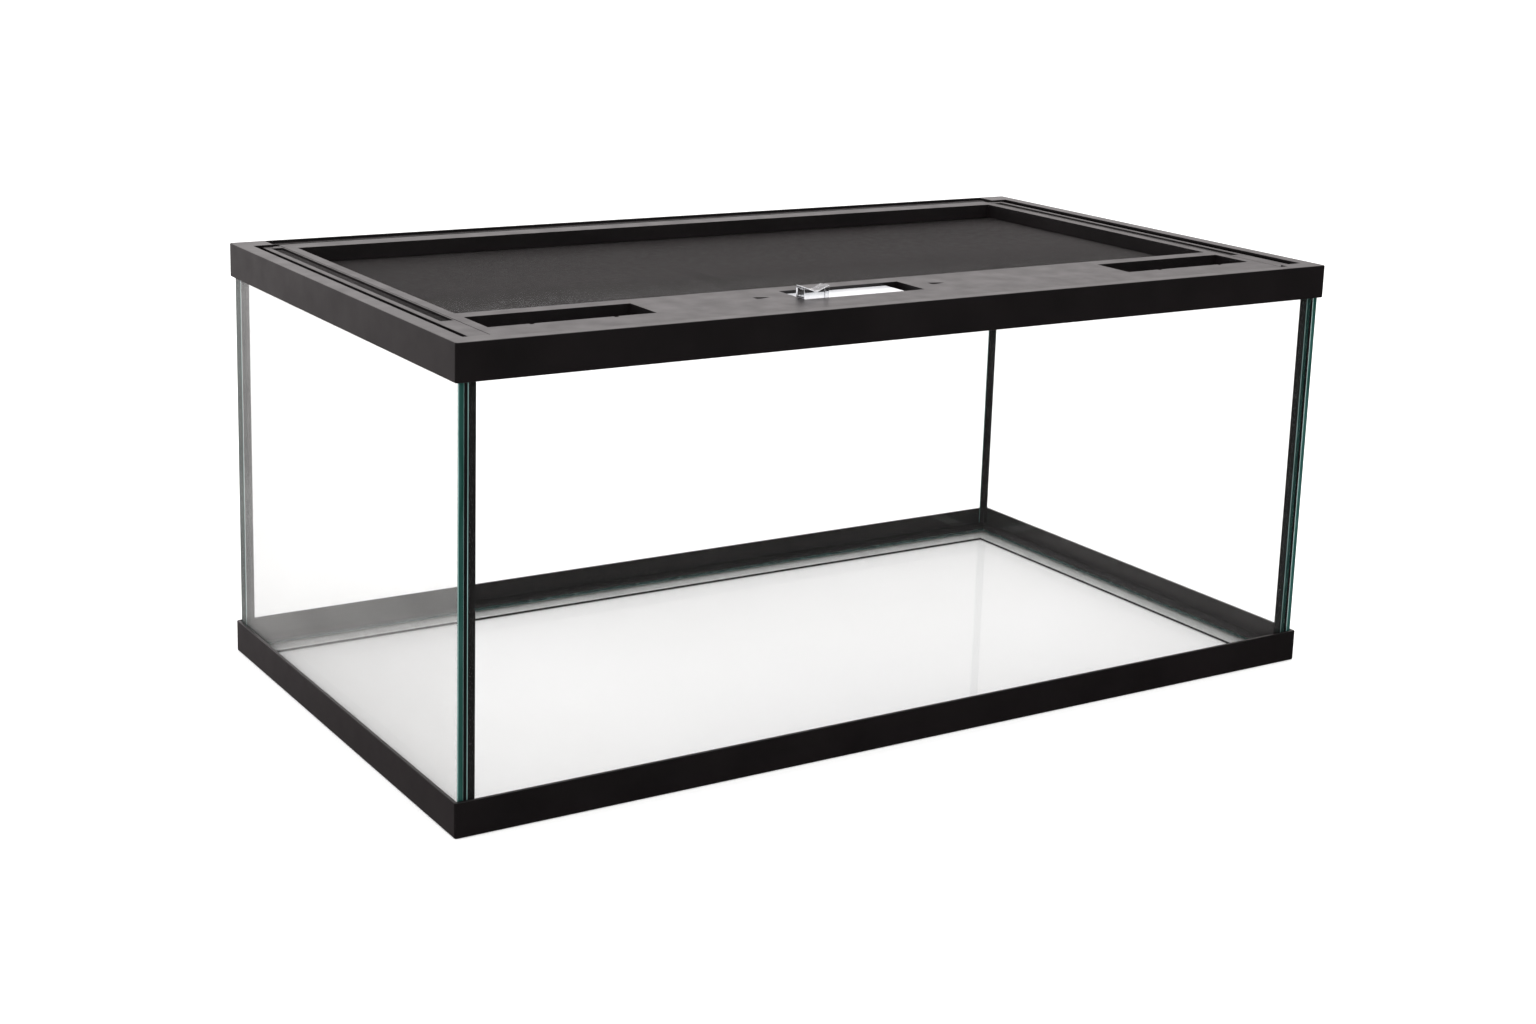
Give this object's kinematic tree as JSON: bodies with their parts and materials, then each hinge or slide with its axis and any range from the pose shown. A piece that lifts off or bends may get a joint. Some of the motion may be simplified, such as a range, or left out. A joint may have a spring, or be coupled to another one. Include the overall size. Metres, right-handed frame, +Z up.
{
  "type": "hamster cage",
  "caption": "Glass-walled small-animal cage in black plastic base and rim frames, with a rear-hinged screen door in the lid, vent strips and a clear sliding latch.",
  "frame": {"origin": "centre of the bottom of the overall bounding box, on the surface that the cage stands on", "axes": "+X along the cage's length to its right end, +Y from the front to the hinged rear, +Z up"},
  "size_m": [0.915, 0.505, 0.4086],
  "materials": {
    "black_plastic": "black moulded plastic, fine satin grain",
    "foam_strip": "pale closed-cell foam",
    "glass": "clear float glass with green cut edges",
    "black_silicone": "smooth black silicone sealant",
    "screen": "black coated woven wire screen",
    "pin_steel": "plain steel",
    "clear_plastic": "clear moulded plastic"
  },
  "bodies": {
    "tank": {"bottom_frame": "black_plastic", "floor_bedding": "foam_strip", "floor_glass": "glass", "front_glass": "glass", "back_glass": "glass", "left_glass": "glass", "right_glass": "glass", "corner_seal_front_left": "black_silicone", "corner_seal_front_right": "black_silicone", "corner_seal_back_left": "black_silicone", "corner_seal_back_right": "black_silicone", "floor_seal": "black_silicone", "top_frame": "black_plastic", "end_insert_left": "black_plastic", "end_insert_right": "black_plastic", "vent_mesh_left": "screen", "vent_mesh_right": "screen"},
    "door": {"door_frame": "black_plastic", "door_mesh": "screen", "mesh_retainer": "black_plastic", "hinge_pin_left": "pin_steel", "hinge_pin_right": "pin_steel"},
    "latch": {"latch_slider": "clear_plastic"}
  },
  "joints": [
    {"name": "door_hinge", "type": "hinge", "parent": "tank", "child": "door", "pos_m": [0, 0.234, 0.3928], "axis": [-1, 0, 0], "range_deg": [0, 105]},
    {"name": "latch_slide", "type": "slide", "parent": "door", "child": "latch", "axis": [1, 0, 0], "range_m": [0, 0.012]}
  ]
}
